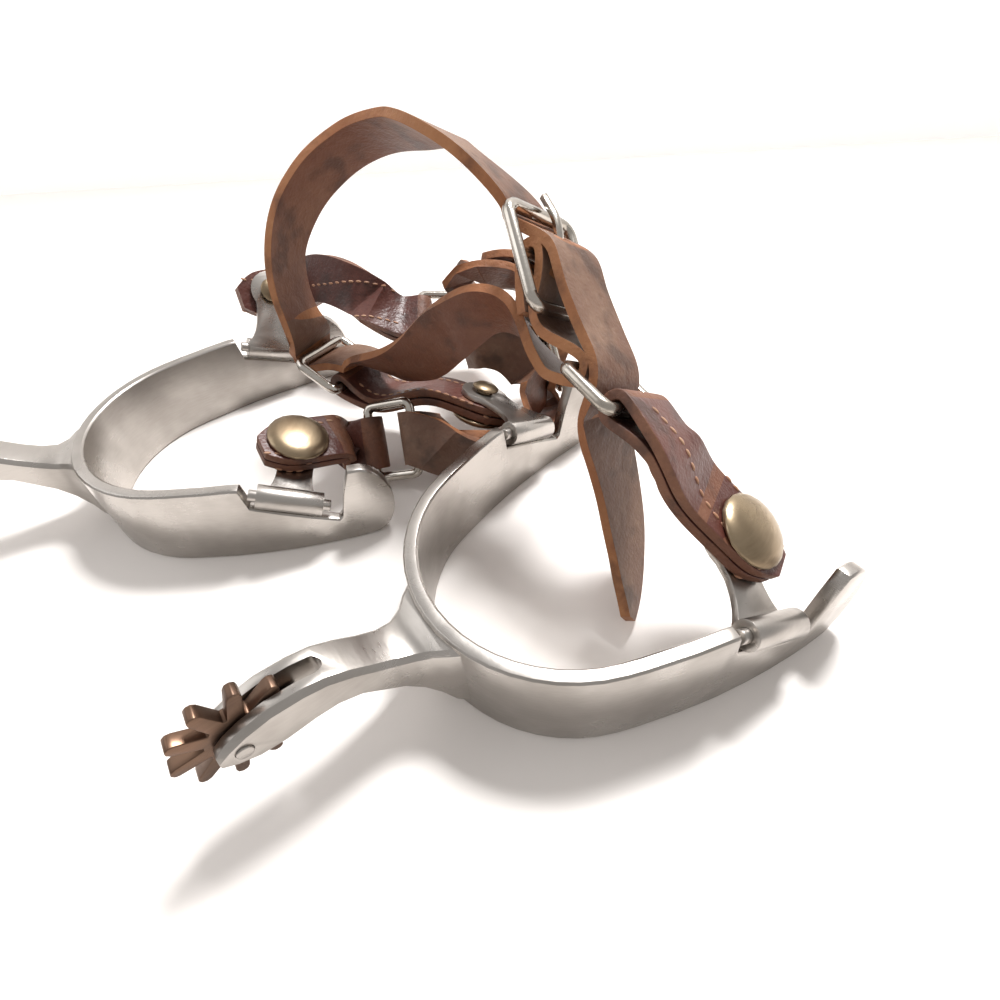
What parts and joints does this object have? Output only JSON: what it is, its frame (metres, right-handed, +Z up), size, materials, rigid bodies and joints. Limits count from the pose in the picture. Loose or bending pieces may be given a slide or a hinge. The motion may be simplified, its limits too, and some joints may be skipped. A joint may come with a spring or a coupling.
{
  "type": "pair of western spurs with straps",
  "caption": "Pair of western boot spurs: flat steel heel bands with shanks, free-turning rowels, hinged button hangers, and buckled leather straps laced through wire rings.",
  "frame": {"origin": "on the floor, at the middle of the back of the near spur heel band, on its lower edge", "axes": "+X forwards from the near heel band along its arms, +Y towards its inner arm and the far spur, +Z up"},
  "size_m": [0.1965, 0.2052, 0.0938],
  "materials": {
    "steel": "satin stainless with polished rims and light wear",
    "bright_wire": "nickel-plated wire",
    "worn_brass": "domed, plating worn through",
    "bronze": "dark, tarnished, coppery at the tips",
    "leather": "worn, dry, greyed outside",
    "dark_leather": "dark, doubled and stitched"
  },
  "bodies": {
    "pair": {"near_heel_band": "steel", "near_shank": "steel", "near_rowel_pin": "steel", "near_main_strap": "leather", "near_buckle_frame": "bright_wire", "near_outer_hinge_pin": "steel", "near_inner_hinge_pin": "steel", "far_heel_band": "steel", "far_shank": "steel", "far_rowel_pin": "steel", "far_main_strap": "leather", "far_buckle_frame": "bright_wire", "far_outer_hinge_pin": "steel", "far_inner_hinge_pin": "steel"},
    "near_rowel_body": {"near_rowel": "bronze"},
    "near_outer_side": {"near_outer_hanger": "steel", "near_outer_button": "worn_brass", "near_outer_button_cap": "worn_brass", "near_outer_hanger_strap": "dark_leather", "near_outer_ring": "bright_wire"},
    "near_inner_side": {"near_inner_hanger": "steel", "near_inner_button": "worn_brass", "near_inner_button_cap": "worn_brass", "near_inner_hanger_strap": "dark_leather", "near_inner_ring": "bright_wire"},
    "near_tongue_body": {"near_buckle_tongue": "bright_wire"},
    "far_rowel_body": {"far_rowel": "bronze"},
    "far_outer_side": {"far_outer_hanger": "steel", "far_outer_button": "worn_brass", "far_outer_button_cap": "worn_brass", "far_outer_hanger_strap": "dark_leather", "far_outer_ring": "bright_wire"},
    "far_inner_side": {"far_inner_hanger": "steel", "far_inner_button": "worn_brass", "far_inner_button_cap": "worn_brass", "far_inner_hanger_strap": "dark_leather", "far_inner_ring": "bright_wire"},
    "far_tongue_body": {"far_buckle_tongue": "bright_wire"}
  },
  "joints": [
    {"name": "near_rowel_spin", "type": "hinge", "parent": "pair", "child": "near_rowel_body", "pos_m": [-0.0405, 0, 0.026], "axis": [0, 1, 0], "continuous": true},
    {"name": "near_outer_hanger_swing", "type": "hinge", "parent": "pair", "child": "near_outer_side", "pos_m": [0.05588, -0.04179, 0.01759], "axis": [-0.8963, 0.1476, 0.4181], "range_deg": [-30, 15], "deforming": ["near_main_strap"]},
    {"name": "near_inner_hanger_swing", "type": "hinge", "parent": "pair", "child": "near_inner_side", "pos_m": [0.05588, 0.04179, 0.01759], "axis": [0.8963, 0.1476, -0.4181], "range_deg": [-5, 30], "deforming": ["near_main_strap"]},
    {"name": "near_tongue_swing", "type": "hinge", "parent": "pair", "child": "near_tongue_body", "pos_m": [0.0612, 0.0365, 0.067], "axis": [0.8533, 0.0535, -0.5187], "range_deg": [0, 60]},
    {"name": "far_rowel_spin", "type": "hinge", "parent": "pair", "child": "far_rowel_body", "pos_m": [-0.09233, 0.12616, 0.026], "axis": [0.2756, 0.9613, 0], "continuous": true},
    {"name": "far_outer_hanger_swing", "type": "hinge", "parent": "pair", "child": "far_outer_side", "pos_m": [-0.0112, 0.05943, 0.01759], "axis": [0.8209, -0.3889, -0.4181], "range_deg": [-3, 30], "deforming": ["far_main_strap"]},
    {"name": "far_inner_hanger_swing", "type": "hinge", "parent": "pair", "child": "far_inner_side", "pos_m": [0.01184, 0.13976, 0.01759], "axis": [0.9023, -0.1052, -0.4181], "range_deg": [-30, 15], "deforming": ["far_main_strap"]},
    {"name": "far_tongue_swing", "type": "hinge", "parent": "pair", "child": "far_tongue_body", "pos_m": [0.0822, 0.06728, 0.023], "axis": [-0.3517, -0.8619, 0.3652], "range_deg": [0, 60]}
  ]
}
